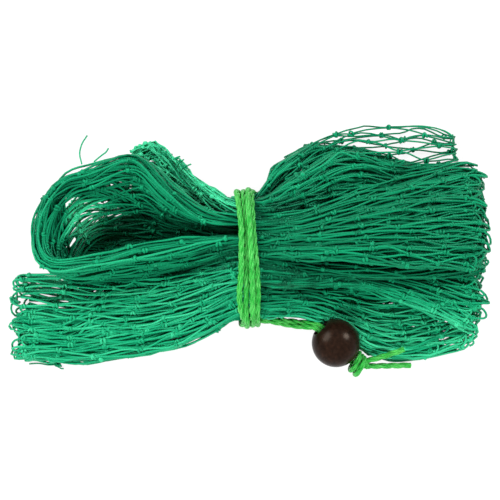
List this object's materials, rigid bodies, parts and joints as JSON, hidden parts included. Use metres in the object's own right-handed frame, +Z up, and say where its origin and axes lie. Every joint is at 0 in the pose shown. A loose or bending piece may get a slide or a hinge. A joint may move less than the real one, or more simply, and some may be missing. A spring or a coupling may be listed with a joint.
{
  "type": "mesh fish storage bag",
  "caption": "Knotted green net bag folded into a bundle and tied round the middle with its own drawcord, which ends in a wooden bead, a stopper knot and free ends.",
  "frame": {"origin": "middle of the footprint of the net and its tie, on the surface that it rests on", "axes": "+X along the bundle, towards the end where the bead lies; +Y across it, away from the bead; +Z up"},
  "size_m": [0.1774, 0.0955, 0.0315],
  "materials": {
    "net_twine": "matte green knotted twine",
    "drawcord": "bright green twisted cord",
    "wood": "dark brown, polished"
  },
  "bodies": {
    "root": {"net_bag": "net_twine", "cord_turn_1": "drawcord", "cord_turn_2": "drawcord", "cord_turn_3": "drawcord", "cord_turn_4": "drawcord", "cord_tail_a": "drawcord", "cord_tail_b": "drawcord", "bead": "wood", "knot": "drawcord", "free_end_a": "drawcord", "free_end_b": "drawcord"}
  },
  "joints": []
}
